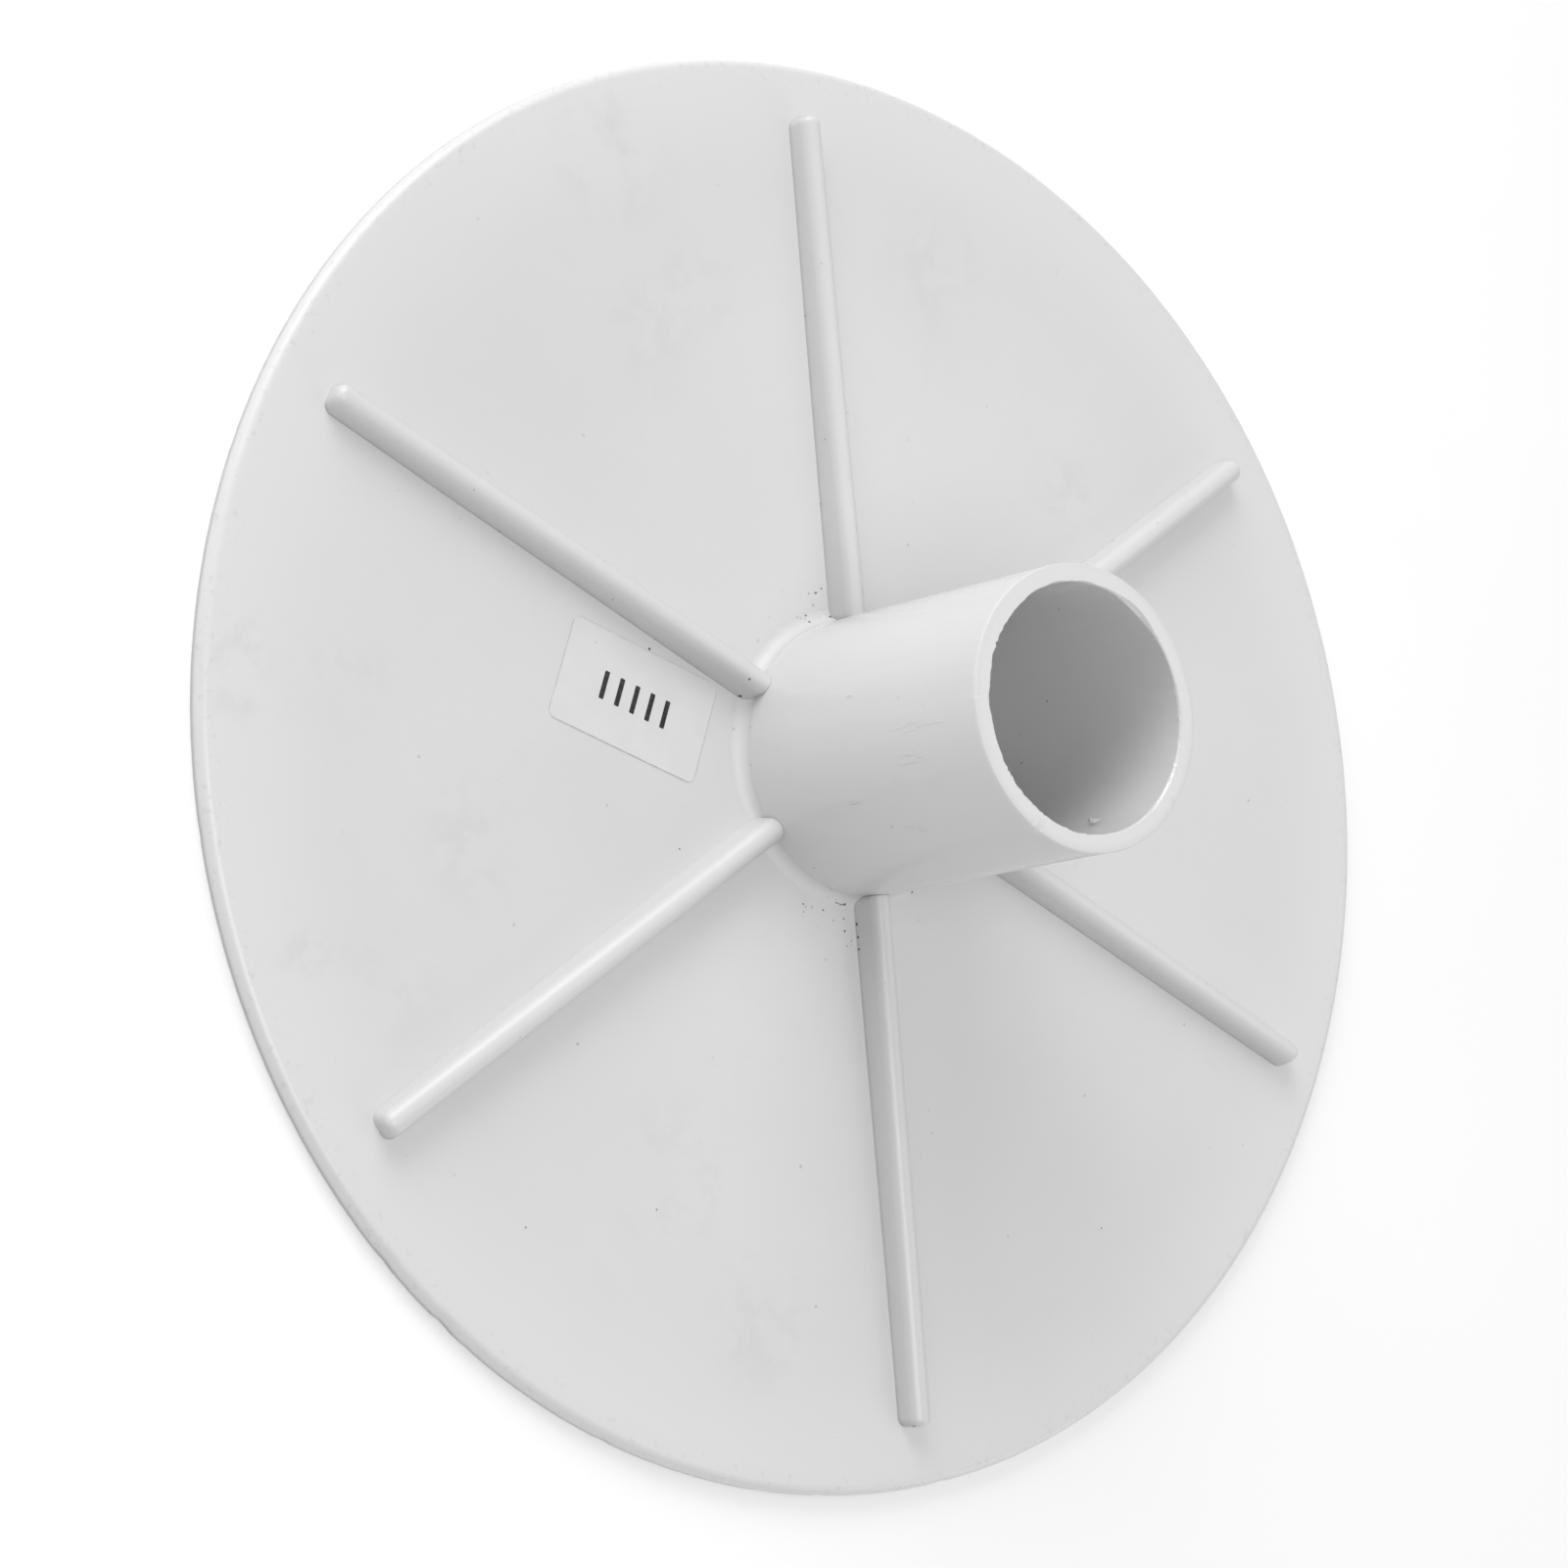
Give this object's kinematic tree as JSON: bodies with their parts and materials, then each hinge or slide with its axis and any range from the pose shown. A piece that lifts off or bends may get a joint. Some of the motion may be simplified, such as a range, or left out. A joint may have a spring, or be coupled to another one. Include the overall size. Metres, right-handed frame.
{
  "type": "blind flange",
  "caption": "Thin round blind flange plate with radial stiffening ribs on its front and a hollow, open-ended centre spigot; the back face is flat.",
  "frame": {"origin": "centre of the flat back face of the plate", "axes": "+Z runs along the spigot and out of its open mouth; +X runs along the middle of rib_1"},
  "size_m": [0.214, 0.214, 0.0538],
  "materials": {
    "plastic": "satin",
    "paper": "matte",
    "ink": "matte"
  },
  "bodies": {
    "root": {"flange_plate": "plastic", "spigot_tube": "plastic", "root_fillet": "plastic", "rib_1": "plastic", "rib_2": "plastic", "rib_3": "plastic", "rib_4": "plastic", "rib_5": "plastic", "rib_6": "plastic", "number_label": "paper", "label_mark": "ink"}
  },
  "joints": []
}
